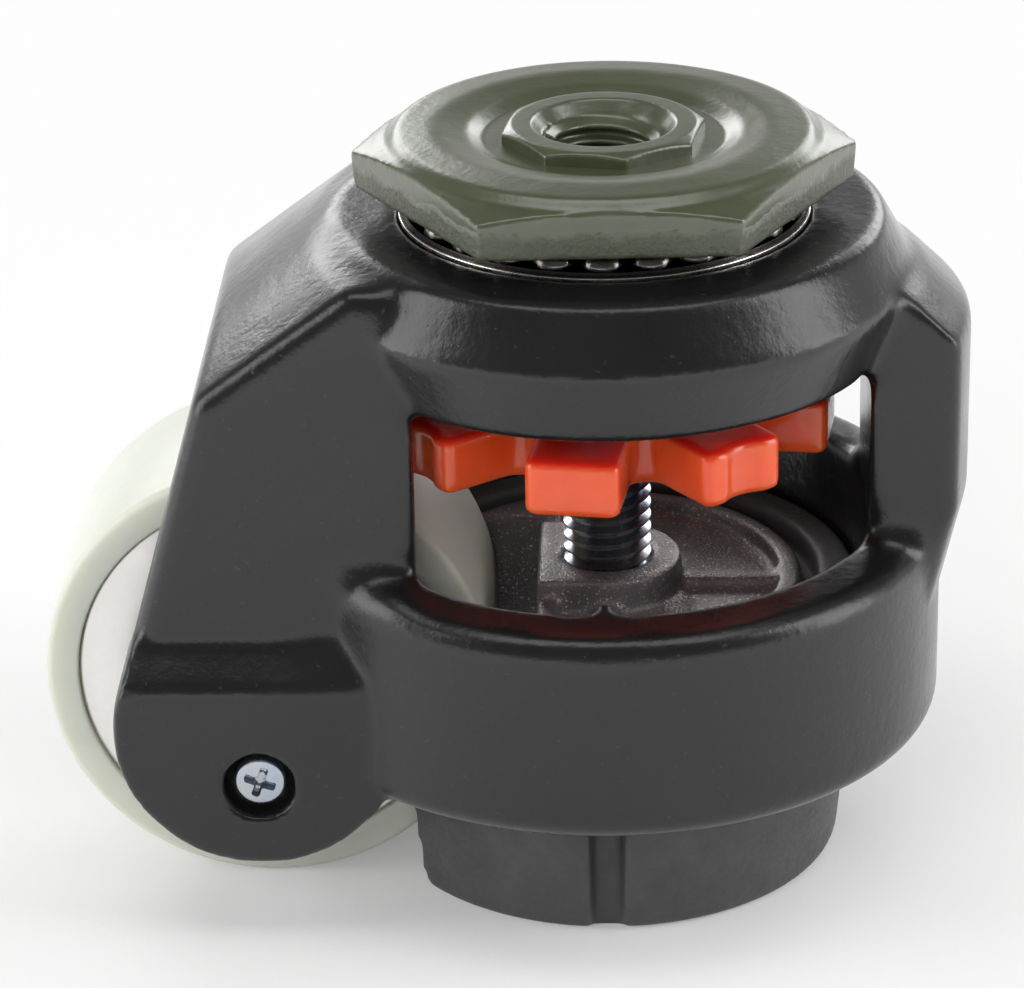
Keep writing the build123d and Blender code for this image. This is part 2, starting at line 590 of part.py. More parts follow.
def keeper_screw(side):
    """Pan-head machine screw with a plain cross recess."""
    head_in = CHEEK_Y - SCREW_SINK - SCREW_HEAD_T
    head = extrude(Circle(SCREW_HEAD_R), SCREW_HEAD_T)
    head = fillet(head.edges().sort_by(Axis.Z)[-1], SCREW_HEAD_T * SCREW_HEAD_DOME)
    arm = Box(SCREW_CROSS_L, SCREW_CROSS_W, 2 * SCREW_CROSS_DEPTH)
    recess = Pos(0, 0, SCREW_HEAD_T) * (arm + Rot(0, 0, 90) * arm)
    body = head - recess + Pos(0, 0, -SCREW_L) * extrude(Circle(SCREW_R), SCREW_L)
    return Pos(WHEEL_X, side * head_in, SCREW_Z) * Rot(-90 * side, 0, 0) * body


# ---- wheel ---------------------------------------------------------------------------------------
def on_axle(body):
    """Lay a piece that was turned about Z along the axle, centred on the wheel."""
    return Pos(WHEEL_X, 0, WHEEL_Z) * Rot(-90, 0, 0) * body


def wheel_tyre():
    """Nylon band with rounded edges and a rib inside that keys it to the core."""
    half = WHEEL_W / 2
    band = turned([(CORE_R, -half), (WHEEL_R, -half), (WHEEL_R, half), (CORE_R, half)])
    rims = [e for e in band.edges().filter_by(GeomType.CIRCLE) if e.radius > WHEEL_R - 0.1]
    band = fillet(rims, TYRE_EDGE)
    rib_r = CORE_R - TYRE_RIB_H
    root_r = CORE_R + TYRE_LAP
    rib = turned([(rib_r, -TYRE_RIB_Y), (root_r, -TYRE_RIB_Y), (root_r, TYRE_RIB_Y), (rib_r, TYRE_RIB_Y)])
    return on_axle(band + rib)


def wheel_core():
    """Turned disc with a hub bored for the two bushes and a groove for the band's rib."""
    half = WHEEL_W / 2 - CORE_RECESS
    rib_r = CORE_R - TYRE_RIB_H
    body = turned([(BUSH_R, -half), (CORE_R, -half), (CORE_R, -TYRE_RIB_Y), (rib_r, -TYRE_RIB_Y),
                   (rib_r, TYRE_RIB_Y), (CORE_R, TYRE_RIB_Y), (CORE_R, half), (BUSH_R, half)])
    for end in (-1, 1):
        z0, z1 = sorted((end * (half - BUSH_FLANGE_T), end * (half + OVER)))
        body -= disc(BUSH_FLANGE_R, z0, z1)
    return on_axle(body)


def wheel_bush(side):
    """Flanged plain bush, pressed in one end of the core."""
    half = WHEEL_W / 2 - CORE_RECESS
    bore = AXLE_R + FIT
    body = turned([(bore, half), (BUSH_FLANGE_R, half), (BUSH_FLANGE_R, half - BUSH_FLANGE_T),
                   (BUSH_R, half - BUSH_FLANGE_T), (BUSH_R, half - BUSH_L), (bore, half - BUSH_L)])
    return on_axle(body if side > 0 else Rot(180, 0, 0) * body)


def spacer(side):
    """Washer on the axle between the wheel and one cheek."""
    outer = CHEEK_IN_Y - FIT
    body = disc(SPACER_R, outer - SPACER_T, outer, AXLE_R + FIT)
    return on_axle(body if side > 0 else Rot(180, 0, 0) * body)


# ---- levelling drive -----------------------------------------------------------------------------
def star_wheel():
    """Moulded hand wheel: a round web with eight paddles, every other one with a finger groove."""
    outline = Circle(STAR_WEB_R)
    inner = STAR_WEB_R / 2
    lobe = Pos((STAR_R + inner) / 2, 0) * RectangleRounded(STAR_R - inner, STAR_LOBE_W, STAR_LOBE_ROUND)
    for i in range(STAR_LOBES):
        outline += Rot(0, 0, STAR_TURN + i * 360 / STAR_LOBES) * lobe
    valleys = [v for v in outline.vertices() if abs(Vector(v.X, v.Y, 0).length - STAR_WEB_R) < 0.5]
    outline = fillet(valleys, STAR_VALLEY_ROUND)
    groove_x = STAR_R - STAR_GROOVE_DEPTH + STAR_GROOVE_R
    for i in range(1, STAR_LOBES, 2):
        outline -= Rot(0, 0, STAR_TURN + i * 360 / STAR_LOBES) * Pos(groove_x, 0) * Circle(STAR_GROOVE_R)
    reach = sqrt(STAR_R ** 2 + (STAR_LOBE_W / 2 - STAR_LOBE_ROUND) ** 2) - 0.05
    lips = [v for v in outline.vertices() if STAR_R - 0.05 < Vector(v.X, v.Y, 0).length < reach]
    outline = fillet(lips, STAR_GROOVE_ROUND)
    body = Pos(0, 0, STAR_BOTTOM) * extrude(outline, STAR_T)
    ends = (STAR_BOTTOM, STAR_TOP)
    body = fillet([e for e in body.edges() if min(abs(e.center().Z - z) for z in ends) < 0.01], STAR_EDGE)
    body += disc(STAR_HUB_R, STAR_HUB_BOTTOM, STAR_TOP + STAR_HUB_RISE)
    body -= disc(DRIVE_SCREW_R, STAR_HUB_BOTTOM - OVER, STAR_TOP + STAR_HUB_RISE + OVER)
    return body - star_pin_rod(STAR_HUB_R + OVER)


def star_pin_rod(half_length):
    """The pin's rod, lying along one pair of valleys between the lobes."""
    rod = Pos(0, 0, -half_length) * extrude(Circle(STAR_PIN_R), 2 * half_length)
    valley = STAR_TURN + 180 / STAR_LOBES
    return Pos(0, 0, STAR_TOP + STAR_PIN_RISE) * Rot(0, 90, valley) * rod


def star_pin():
    """Pin through hub and screw, which makes them turn together."""
    return star_pin_rod(STAR_HUB_R - STAR_PIN_SHORT)


def levelling_screw():
    """Screw with a collar that bears under the kingpin and a grooved journal above it."""
    body = disc(DRIVE_SCREW_R, DRIVE_SCREW_BOTTOM, COLLAR_TOP - COLLAR_T / 2)
    body = chamfer(body.edges().sort_by(Axis.Z)[0], DRIVE_SCREW_CHAMFER)
    body += disc(COLLAR_R, COLLAR_TOP - COLLAR_T, COLLAR_TOP)
    body += disc(JOURNAL_R, COLLAR_TOP, KINGPIN_BOTTOM + JOURNAL_L)
    body -= star_pin_rod(COLLAR_R + OVER)
    return body - track(JOURNAL_R, CLIP_WIRE_R, KINGPIN_BOTTOM + JOURNAL_L / 2)


def thrust_washer():
    """Flat washer between the screw's collar and the riveted end of the kingpin."""
    return disc(THRUST_R, COLLAR_TOP, KINGPIN_BOTTOM, JOURNAL_R + FIT)


def snap_ring():
    """Open wire ring that locks the journal in the kingpin."""
    body = track(JOURNAL_R, CLIP_WIRE_R, KINGPIN_BOTTOM + JOURNAL_L / 2)
    half = CLIP_OPENING / 2
    return body - block(0, 2 * JOURNAL_R, -half, half, KINGPIN_BOTTOM, KINGPIN_BOTTOM + JOURNAL_L)


# ---- foot ----------------------------------------------------------------------------------------
def wheel_notch(half_width, low, high):
    """Upright tool that clears the wheel out of the foot."""
    return block(-2 * WHEEL_R, NOTCH_X, -half_width, half_width, low, high)


def foot_casting():
    """Rimmed disc with pockets, ribs and a tapped boss, cut away for the wheel."""
    floor = CASTING_TOP - CASTING_POCKET
    body = disc(CASTING_R, PAD_SOLE_T, CASTING_TOP)
    body = fillet(body.edges().sort_by(Axis.Z)[-1], CASTING_ROUND)
    pocket = disc(CASTING_R - CASTING_RIM, floor, CASTING_TOP + OVER)
    rib_top = CASTING_TOP - RIB_DROP
    ribs = block(0, CASTING_R, -RIB_W / 2, RIB_W / 2, floor, rib_top)
    ribs += block(-RIB_W / 2, RIB_W / 2, -CASTING_R, CASTING_R, floor, rib_top)
    wall_y = NOTCH_Y + CASTING_RIM
    wall = block(NOTCH_X - CASTING_R, NOTCH_X + CASTING_RIM, -wall_y, wall_y, floor, CASTING_TOP)
    body = body - (pocket - ribs - wall)
    body += disc(BOSS_R, floor, BOSS_TOP) + block(NOTCH_X, 0, -BOSS_R, BOSS_R, floor, BOSS_TOP)
    hole_bottom = DRIVE_SCREW_BOTTOM - FOOT_LIFT - OVER
    body -= disc(DRIVE_SCREW_R + FIT, hole_bottom, BOSS_TOP + OVER)
    return body - wheel_notch(NOTCH_Y, 0, BOSS_TOP + OVER)


def foot_pad():
    """Rubber shoe: sole and wall round the casting, open mouth, guide groove at the front."""
    body = turned([(0, 0), (PAD_SOLE_R, 0), (PAD_R, PAD_TAPER_Z), (PAD_R, PAD_TOP), (0, PAD_TOP)])
    body = fillet(body.edges().sort_by(Axis.Z)[0], PAD_SOLE_ROUND)
    seat = CASTING_R + FIT
    mouth_z = PAD_TOP - PAD_MOUTH_H
    body -= turned([(0, PAD_SOLE_T), (seat, PAD_SOLE_T), (seat, mouth_z), (PAD_MOUTH_R, mouth_z),
                    (PAD_MOUTH_R, PAD_TOP + OVER), (0, PAD_TOP + OVER)])
    root_r = PAD_R + OVER
    body -= upright_wedge(PAD_GROOVE_R, PAD_GROOVE_FLOOR_W, root_r, groove_width(root_r),
                          -OVER, PAD_TOP + OVER)
    return body - wheel_notch(PAD_NOTCH_Y, -OVER, PAD_TOP + OVER)


# ---- write every node ----------------------------------------------------------------------------
save("mounting_plate", mounting_plate())
save("stem_nut", stem_nut())
save("lower_race_cone", lower_race_cone())
save("upper_race_cup", upper_race_cup())
save("lower_race_cup", lower_race_cup())
save("upper_balls", *ball_row(UPPER_BALLS, UPPER_TRACK_R, BALL_R, UPPER_BALL_Z))
save("lower_balls", *ball_row(LOWER_BALLS, LOWER_TRACK_R, LOWER_BALL_R, LOWER_BALL_Z))
save("housing", housing())
save("axle", axle())
for place, side in (("front", -1), ("back", 1)):
    save(f"axle_keeper_{place}", axle_keeper(side))
    save(f"keeper_screw_{place}", keeper_screw(side))
    save(f"wheel_bush_{place}", wheel_bush(side))
    save(f"spacer_{place}", spacer(side))
save("wheel_tyre", wheel_tyre())
save("wheel_core", wheel_core())
save("star_wheel", star_wheel())
save("star_pin", star_pin())
save("levelling_screw", levelling_screw())
save("thrust_washer", thrust_washer())
save("snap_ring", snap_ring())
save("foot_casting", foot_casting())
save("foot_pad", foot_pad())
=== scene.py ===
# %% [markdown]
# # A levelling castor, dressed for a studio shot
# A levelling castor carries a machine on a nylon wheel, and a rubber foot is screwed down beside the
# wheel when the machine has to stand still. The engineering model arrives as fixed nodes, in metres,
# already in place. This lesson gives each node its finish, and models again, with Blender's own
# tools, the pieces whose looks depend on more than their plain shape: cast edges, threads, sheared
# steel and moulded plastic.

# %% Load the engineering model
import json
from math import acos, cos, hypot, pi, radians, sin, sqrt, tan

import bmesh
import bpy
from mathutils import Matrix, Vector

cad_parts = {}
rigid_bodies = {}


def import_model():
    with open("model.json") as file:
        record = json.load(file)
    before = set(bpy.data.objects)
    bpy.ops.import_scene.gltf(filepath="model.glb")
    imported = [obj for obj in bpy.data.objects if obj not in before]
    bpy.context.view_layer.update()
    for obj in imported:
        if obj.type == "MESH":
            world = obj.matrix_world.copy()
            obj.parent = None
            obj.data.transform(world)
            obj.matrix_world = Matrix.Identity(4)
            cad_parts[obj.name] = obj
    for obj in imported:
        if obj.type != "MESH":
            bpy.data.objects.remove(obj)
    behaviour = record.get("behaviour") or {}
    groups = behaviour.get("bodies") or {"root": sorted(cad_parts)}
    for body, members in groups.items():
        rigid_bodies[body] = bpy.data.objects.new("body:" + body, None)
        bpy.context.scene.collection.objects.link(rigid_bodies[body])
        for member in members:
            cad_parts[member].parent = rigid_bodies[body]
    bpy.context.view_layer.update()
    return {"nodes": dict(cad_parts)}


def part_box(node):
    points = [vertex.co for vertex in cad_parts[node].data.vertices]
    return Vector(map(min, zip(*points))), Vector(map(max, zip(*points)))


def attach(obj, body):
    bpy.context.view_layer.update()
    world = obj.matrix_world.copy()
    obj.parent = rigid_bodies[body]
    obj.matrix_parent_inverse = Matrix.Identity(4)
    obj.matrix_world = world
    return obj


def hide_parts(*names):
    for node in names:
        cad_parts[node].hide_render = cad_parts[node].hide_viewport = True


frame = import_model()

MM = 0.001
nodes = frame["nodes"]

# %% [markdown]
# ## Camera
# A product shot like this is taken with a long lens from a little above, so upright edges stay
# nearly upright. The camera is built from three angles and one distance, as on a tripod: where it
# stands round the object, how high it looks from, how far it leans, and how far away it is.

# %% Camera
VIEW_AZIMUTH, VIEW_ELEVATION, VIEW_ROLL = radians(2.14), radians(24.2), radians(1.12)
VIEW_DISTANCE = 0.4963
VIEW_AIM = Vector((-0.01128, 0.01523, 0.03479))
LENS = 149.4

flat_back = Vector((sin(VIEW_AZIMUTH), -cos(VIEW_AZIMUTH), 0))
back = flat_back * cos(VIEW_ELEVATION) + Vector((0, 0, sin(VIEW_ELEVATION)))
level = Vector((cos(VIEW_AZIMUTH), sin(VIEW_AZIMUTH), 0))
upward = back.cross(level)
side = level * cos(VIEW_ROLL) - upward * sin(VIEW_ROLL)
top = level * sin(VIEW_ROLL) + upward * cos(VIEW_ROLL)
bpy.ops.object.camera_add(location=VIEW_AIM + back * VIEW_DISTANCE)
camera = bpy.context.object
camera.rotation_euler = Matrix((side, top, back)).transposed().to_euler()
camera.data.lens = LENS
camera.data.sensor_width = 36
bpy.context.scene.camera = camera
print("camera at", [round(v, 4) for v in camera.location])

# %% [markdown]
# ## Building materials from nodes
# Every finish here is a Principled shader fed by a few textures in Object coordinates, which are
# metres, so a texture scale of 1000 has features of about a millimetre. Three small helpers keep
# the cells short: one starts a finish, one adds a node with its settings, and one joins sockets.

# %% Helpers for finishes
def new_finish(name, color, roughness, metallic=0.0, **sockets):
    """A material with one Principled shader; extra settings go on the shader's own sockets."""
    material = bpy.data.materials.new(name)
    material.use_nodes = True
    tree = material.node_tree
    tree.nodes.clear()
    shader = tree.nodes.new("ShaderNodeBsdfPrincipled")
    shader.inputs["Base Color"].default_value = (*color, 1)
    shader.inputs["Roughness"].default_value = roughness
    shader.inputs["Metallic"].default_value = metallic
    for label, value in sockets.items():
        shader.inputs[label.replace("_", " ")].default_value = value
    output = tree.nodes.new("ShaderNodeOutputMaterial")
    tree.links.new(shader.outputs[0], output.inputs[0])
    place = tree.nodes.new("ShaderNodeTexCoord").outputs["Object"]
    return material, tree, shader, place


def add(tree, kind, inputs=(), **settings):
    """One node; inputs maps a socket to a value or to another node's output."""
    made = tree.nodes.new("ShaderNode" + kind)
    for label, value in settings.items():
        setattr(made, label, value)
    for socket, value in dict(inputs).items():
        if hasattr(value, "is_output"):
            tree.links.new(value, made.inputs[socket])
        else:
            made.inputs[socket].default_value = value
    return made


def noise(tree, place, scale, detail=2.0, rough=0.5):
    """Cloudy noise, from 0 to 1."""
    made = add(tree, "TexNoise", {"Vector": place, "Scale": scale, "Detail": detail, "Roughness": rough})
    return made.outputs[0]


def ramp(tree, value, low, high, out_low=0.0, out_high=1.0):
    """Stretch a stretch of a value over a new range, and clip outside it."""
    made = add(tree, "MapRange", {"Value": value, "From Min": low, "From Max": high,
                                  "To Min": out_low, "To Max": out_high})
    return made.outputs[0]


def blend_colors(tree, factor, first, second):
    """Two colours mixed by a factor."""
    made = add(tree, "Mix", {0: factor}, data_type="RGBA")
    for socket, color in ((6, first), (7, second)):
        if hasattr(color, "is_output"):
            tree.links.new(color, made.inputs[socket])
        else:
            made.inputs[socket].default_value = (*color, 1)
    return made.outputs[2]


def arith(tree, operation, first, second):
    """Arithmetic on two values."""
    return add(tree, "Math", {0: first, 1: second}, operation=operation).outputs[0]


def relief(tree, shader, heights):
    """Bumps stacked on each other; heights lists (value, depth in millimetres)."""
    below = None
    for value, depth in heights:
        bump = add(tree, "Bump", {"Height": value, "Distance": depth * MM, "Strength": 1.0})
        if below:
            tree.links.new(below, bump.inputs["Normal"])
        below = bump.outputs[0]
    tree.links.new(below, shader.inputs["Normal"])


def feed(tree, value, shader, socket):
    """Join a value to one socket of the shader."""
    tree.links.new(value, shader.inputs[socket])


print("finish helpers ready")

# %% [markdown]
# ## Paper floor
# The castor stands on white paper. Paper is matte, so it is one diffuse shader, and it keeps the
# castor's soft shadow. Away from the castor the paper is lit as brightly as the backdrop, which is
# done for camera, glossy and transmission rays alone, so that it adds no light to the object.

# %% Floor
bpy.ops.object.select_all(action="DESELECT")
bpy.ops.mesh.primitive_plane_add(size=12)
floor = bpy.context.object
floor.name = "paper_floor"
paper, tree, shader, place = new_finish("white_paper", (0.84, 0.84, 0.835), 0.9)
output = tree.nodes["Material Output"]
rays = add(tree, "LightPath")
white_level = ramp(tree, rays.outputs["Is Camera Ray"], 0, 1, 1.6, 0.985)
glow = add(tree, "Emission", {"Color": (1, 1, 1, 1), "Strength": white_level})
distance = add(tree, "VectorMath", {0: place}, operation="LENGTH").outputs["Value"]
fade = ramp(tree, distance, 0.05, 0.26, 0.22, 0.985)
seen = arith(tree, "MAXIMUM", rays.outputs["Is Camera Ray"], rays.outputs["Is Glossy Ray"])
seen = arith(tree, "MAXIMUM", seen, rays.outputs["Is Transmission Ray"])
amount = arith(tree, "MULTIPLY", seen, fade)
mix = add(tree, "MixShader", {0: amount, 1: shader.outputs[0], 2: glow.outputs[0]})
tree.links.new(mix.outputs[0], output.inputs[0])
fibre = noise(tree, place, 2500, 3)
relief(tree, shader, [(fibre, 0.02)])
floor.data.materials.append(paper)
print("floor:", floor.name)

# %% [markdown]
# ## Light
# Black paint shows the room more than it shows itself. The room is a white tent that is open toward
# the camera: the world is white behind and beside the castor and dark in front, and six large
# lamps give shape. The front one only fills the shadows, so it is kept out of reflections. The
# camera and clear pieces always see plain white.

# %% World
BEHIND, FRONT, OVERHEAD = 0.78, 0.24, 0.16
world = bpy.data.worlds.new("white_tent")
bpy.context.scene.world = world
world.use_nodes = True
tree = world.node_tree
backdrop = tree.nodes["Background"]
way = add(tree, "TexCoord").outputs["Generated"]
axes = add(tree, "SeparateXYZ", {0: way})
depth = ramp(tree, axes.outputs["Y"], -0.55, 0.15, FRONT, BEHIND)
ceiling = ramp(tree, axes.outputs["Z"], 0.26, 0.42, 0.0, 1.0)
room = add(tree, "Mix", {0: ceiling, 2: depth, 3: OVERHEAD}, data_type="FLOAT").outputs[0]
rays = add(tree, "LightPath")
clear = arith(tree, "MAXIMUM", rays.outputs["Is Camera Ray"], rays.outputs["Is Transmission Ray"])
level_out = add(tree, "Mix", {0: clear, 2: room, 3: 1.0}, data_type="FLOAT").outputs[0]
tree.links.new(level_out, backdrop.inputs["Strength"])
backdrop.inputs["Color"].default_value = (1, 1, 1, 1)
print("world:", world.name)

# %% Lamps
def soft_lamp(name, place, size, watts, aim=(0, 0, 0.045)):
    """A large rectangular lamp turned toward the castor."""
    toward = Vector(aim) - Vector(place)
    bpy.ops.object.light_add(type="AREA", location=place,
                             rotation=toward.to_track_quat("-Z", "Y").to_euler())
    lamp = bpy.context.object
    lamp.name = name
    lamp.data.shape = "RECTANGLE"
    lamp.data.size, lamp.data.size_y = size
    lamp.data.energy = watts
    return lamp


soft_lamp("left_panel", (-0.85, -0.16, 0.34), (0.45, 0.75), 4.0)
soft_lamp("right_panel", (0.85, -0.12, 0.42), (0.45, 0.90), 5.8)
soft_lamp("back_left_panel", (-0.47, 1.08, 0.50), (0.66, 0.36), 4.2)
soft_lamp("back_right_panel", (0.52, 1.06, 0.50), (0.66, 0.36), 3.8)
soft_lamp("roof_panel", (0.0, -0.11, 1.12), (1.15, 0.46), 3.9)
front_fill = soft_lamp("front_fill", (-0.30, -0.95, 0.62), (0.8, 0.5), 5.6)
front_fill.visible_glossy = False
bpy.context.scene.view_settings.view_transform = "Standard"

# %% [markdown]
# ## Building shapes
# Most new pieces start as a circle that is extruded and resized from rim to rim, the way a lathe
# follows a profile. Cast and pressed pieces get their soft edges from a voxel remesh, which gives
# an even skin, and a little smoothing, which rounds every edge by about the same amount, as
# casting sand does.

# %% Helpers for shapes
def only(piece):
    """Make one piece the only selected and the active object."""
    bpy.ops.object.select_all(action="DESELECT")
    piece.select_set(True)
    bpy.context.view_layer.objects.active = piece


def editing(piece, select="SELECT"):
    """Open a piece for editing with everything selected or nothing."""
    only(piece)
    bpy.ops.object.mode_set(mode="EDIT")
    bpy.ops.mesh.select_mode(type="VERT")
    bpy.ops.mesh.select_all(action=select)


def done():
    """Close the open piece with its normals facing out."""
    bpy.ops.mesh.select_all(action="SELECT")
    bpy.ops.mesh.normals_make_consistent(inside=False)
    bpy.ops.object.mode_set(mode="OBJECT")


def pick(piece, rule):
    """Select the vertices of the open piece for which the rule of (place in mm, vertex) is true."""
    mesh = bmesh.from_edit_mesh(piece.data)
    for vertex in mesh.verts:
        vertex.select_set(bool(rule(vertex.co / MM, vertex)))
    mesh.select_flush(True)
    bmesh.update_edit_mesh(piece.data)
    return sum(vertex.select for vertex in mesh.verts)


def change(piece, kind, **settings):
    """Add one modifier with its settings and apply it."""
    only(piece)
    modifier = piece.modifiers.new(kind.lower(), kind)
    for label, value in settings.items():
        setattr(modifier, label, value)
    bpy.ops.object.modifier_apply(modifier=modifier.name)


def combine(piece, tool, how):
    """Cut, join or intersect with a tool solid, which is then thrown away."""
    change(piece, "BOOLEAN", object=tool, operation=how, solver="EXACT")
    bpy.data.objects.remove(tool)


def soften(piece, voxel, passes, keep_faces=170000, share=0.5):
    """An even skin of the given voxel size in mm, smoothed, and thinned if it has too many faces."""
    change(piece, "REMESH", mode="VOXEL", voxel_size=voxel * MM)
    editing(piece)
    bpy.ops.mesh.vertices_smooth(factor=share, repeat=passes)
    done()
    triangles = 2 * len(piece.data.polygons)
    if triangles > keep_faces:
        change(piece, "DECIMATE", ratio=keep_faces / triangles)
    only(piece)
    bpy.ops.object.shade_smooth()
    return piece


def edges_shown(piece, degrees=35):
    """Smooth shading with crisp edges above an angle."""
    only(piece)
    bpy.ops.object.shade_smooth_by_angle(angle=radians(degrees))
    return piece


def rounded(corners, steps=4):
    """Points of an outline whose corners (x, y, radius) are rounded; radius 0 keeps a corner."""
    points = []
    for i, (x, y, radius) in enumerate(corners):
        here = Vector((x, y))
        if not radius:
            points.append((x, y))
            continue
        before = (Vector(corners[i - 1][:2]) - here).normalized()
        after = (Vector(corners[(i + 1) % len(corners)][:2]) - here).normalized()
        half = acos(max(-1, min(1, before.dot(after)))) / 2
        centre = here + (before + after).normalized() * radius / sin(half)
        start = here + before * radius / tan(half) - centre
        finish = here + after * radius / tan(half) - centre
        sweep = (pi - 2 * half) * (1 if start.cross(finish) > 0 else -1)
        for k in range(steps + 1):
            points.append(tuple(centre + Matrix.Rotation(sweep * k / steps, 2) @ start))
    return points


def turned(name, outline, around=160, ring=False):
    """A turned solid. The outline lists (radius, height) in mm from one end of the profile to the
    other; a ring's profile closes on itself."""
    first_r, first_z = outline[0]
    bpy.ops.object.select_all(action="DESELECT")
    bpy.ops.mesh.primitive_circle_add(vertices=around, radius=first_r * MM, location=(0, 0, 0))
    piece = bpy.context.object
    piece.name = piece.data.name = name
    editing(piece)
    bpy.ops.transform.translate(value=(0, 0, first_z * MM))
    for r, z in outline[1:]:
        bpy.ops.mesh.extrude_edges_move(TRANSFORM_OT_translate={"value": (0, 0, (z - first_z) * MM)})
        bpy.ops.transform.resize(value=(r / first_r, r / first_r, 1), center_override=(0, 0, 0))
        first_r, first_z = r, z
    bpy.ops.mesh.select_all(action="SELECT")
    bpy.ops.mesh.region_to_loop()
    if ring:
        bpy.ops.mesh.bridge_edge_loops()
    else:
        bpy.ops.mesh.edge_face_add()
        bpy.ops.mesh.select_all(action="DESELECT")
        bpy.ops.mesh.select_non_manifold()
        bpy.ops.mesh.edge_face_add()
    done()
    return piece


def prism(name, sides, radius, low, high, turn=0.0, middle=(0, 0)):
    """An upright prism with its first corner turned from +X by an angle in degrees."""
    bpy.ops.object.select_all(action="DESELECT")
    bpy.ops.mesh.primitive_cylinder_add(
        vertices=sides, radius=radius * MM, depth=(high - low) * MM,
        location=(middle[0] * MM, middle[1] * MM, (low + high) / 2 * MM),
        rotation=(0, 0, radians(turn - 90)))
    piece = bpy.context.object
    piece.name = piece.data.name = name
    bpy.ops.object.transform_apply(location=True, rotation=True, scale=True)
    return piece


def box_tool(x0, x1, y0, y1, z0, z1):
    """A block between six planes, in mm."""
    bpy.ops.object.select_all(action="DESELECT")
    bpy.ops.mesh.primitive_cube_add(size=1, location=((x0 + x1) / 2 * MM, (y0 + y1) / 2 * MM,
                                                      (z0 + z1) / 2 * MM))
    piece = bpy.context.object
    piece.scale = ((x1 - x0) * MM, (y1 - y0) * MM, (z1 - z0) * MM)
    bpy.ops.object.transform_apply(location=True, rotation=True, scale=True)
    return piece


def helix(name, profile, pitch, turns, bottom, per_turn=64):
    """A closed outline of (radius, height) in mm, swept up a screw line by the Screw modifier."""
    bpy.ops.object.select_all(action="DESELECT")
    bpy.ops.mesh.primitive_circle_add(vertices=len(profile), radius=MM)
    piece = bpy.context.object
    piece.name = piece.data.name = name
    for vertex, (r, z) in zip(piece.data.vertices, profile):
        vertex.co = (r * MM, 0, (bottom + z) * MM)
    only(piece)
    change(piece, "SCREW", angle=2 * pi * turns, screw_offset=pitch * turns * MM,
           steps=int(per_turn * turns), render_steps=int(per_turn * turns), use_merge_vertices=False)
    editing(piece, "DESELECT")
    bpy.ops.mesh.select_non_manifold()
    bpy.ops.mesh.edge_face_add()
    done()
    return piece


def engineering_copy(node, name):
    """A copy of an engineering node with its doubled points merged."""
    only(nodes[node])
    bpy.ops.object.duplicate()
    piece = bpy.context.object
    piece.name = piece.data.name = name
    bpy.ops.object.parent_clear(type="CLEAR_KEEP_TRANSFORM")
    bpy.ops.object.transform_apply(location=True, rotation=True, scale=True)
    piece.data.materials.clear()
    editing(piece)
    bpy.ops.mesh.remove_doubles(threshold=0.004 * MM)
    done()
    return piece


def joined(name, *pieces):
    """Several pieces as one object."""
    only(pieces[0])
    for piece in pieces[1:]:
        piece.select_set(True)
    bpy.ops.object.join()
    pieces[0].name = pieces[0].data.name = name
    return pieces[0]


def stands_for(piece, node, body, finish_slot, material, *more_nodes):
    """Dress a new piece and let it take the place of its engineering nodes."""
    piece.data.materials.clear()
    piece.data.materials.append(material)
    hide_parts(node, *more_nodes)
    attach(piece, body)
    print(piece.name, len(piece.data.polygons), "faces for", node)


print("shape helpers ready")

# %% [markdown]
# ## Black paint on a casting
# The housing is cast, cleaned and sprayed black. The paint is glossy but thin: it shows slow waves
# from the sand under it, a fine orange peel, and a few specks of dust. The waves and the peel are
# two noises of different size, and the specks are the peaks of a third.

# %% Housing paint
black_paint, tree, shader, place = new_finish("black_satin_paint", (0.0070, 0.0070, 0.0074), 0.30,
                                              Specular_IOR_Level=0.5)
waves = noise(tree, place, 130, 2)
peel = noise(tree, place, 900, 3)
grit = noise(tree, place, 2600, 2)
specks = ramp(tree, noise(tree, place, 1500, 1), 0.71, 0.78)
wear = ramp(tree, noise(tree, place, 60, 4, 0.6), 0.35, 0.70)
feed(tree, ramp(tree, wear, 0, 1, 0.25, 0.33), shader, "Roughness")
dust = blend_colors(tree, arith(tree, "MULTIPLY", specks, 0.15), (0.0070, 0.0070, 0.0074), (0.10, 0.10, 0.095))
feed(tree, dust, shader, "Base Color")
relief(tree, shader, [(waves, 0.11), (peel, 0.050), (grit, 0.018), (specks, 0.012)])
print(black_paint.name)

# %% [markdown]
# ## The cast housing
# One casting carries the swivel bearing, the hood over the wheel, the two cheeks for the axle and
# the ring round the foot. Its joints between walls are soft fillets, because sharp inner corners
# crack as iron cools. The engineering copy gets an even skin; then every place where the skin
# folds inward is found by comparing each point with its neighbours, and smoothed further.

# %% Housing
RING_R, RING_LIP = 37.5, 40.85
housing = engineering_copy("housing", "cast_housing")
change(housing, "REMESH", mode="VOXEL", voxel_size=0.5 * MM)
editing(housing)
bpy.ops.mesh.vertices_smooth(factor=0.5, repeat=3)


def folds_inward(place, vertex):
    """True on the outside where the neighbours stand proud of a point."""
    if place.z < 40 or hypot(place.x, place.y) < 27.9 and place.z < 62 or not vertex.link_edges:
        return False
    if place.z < 63 and abs(place.y) < 22.9 and place.x < 27:
        return False
    middle = sum((edge.other_vert(vertex).co for edge in vertex.link_edges), Vector())
    proud = (middle / len(vertex.link_edges) - vertex.co).dot(vertex.normal)
    return proud > 0.012 * MM


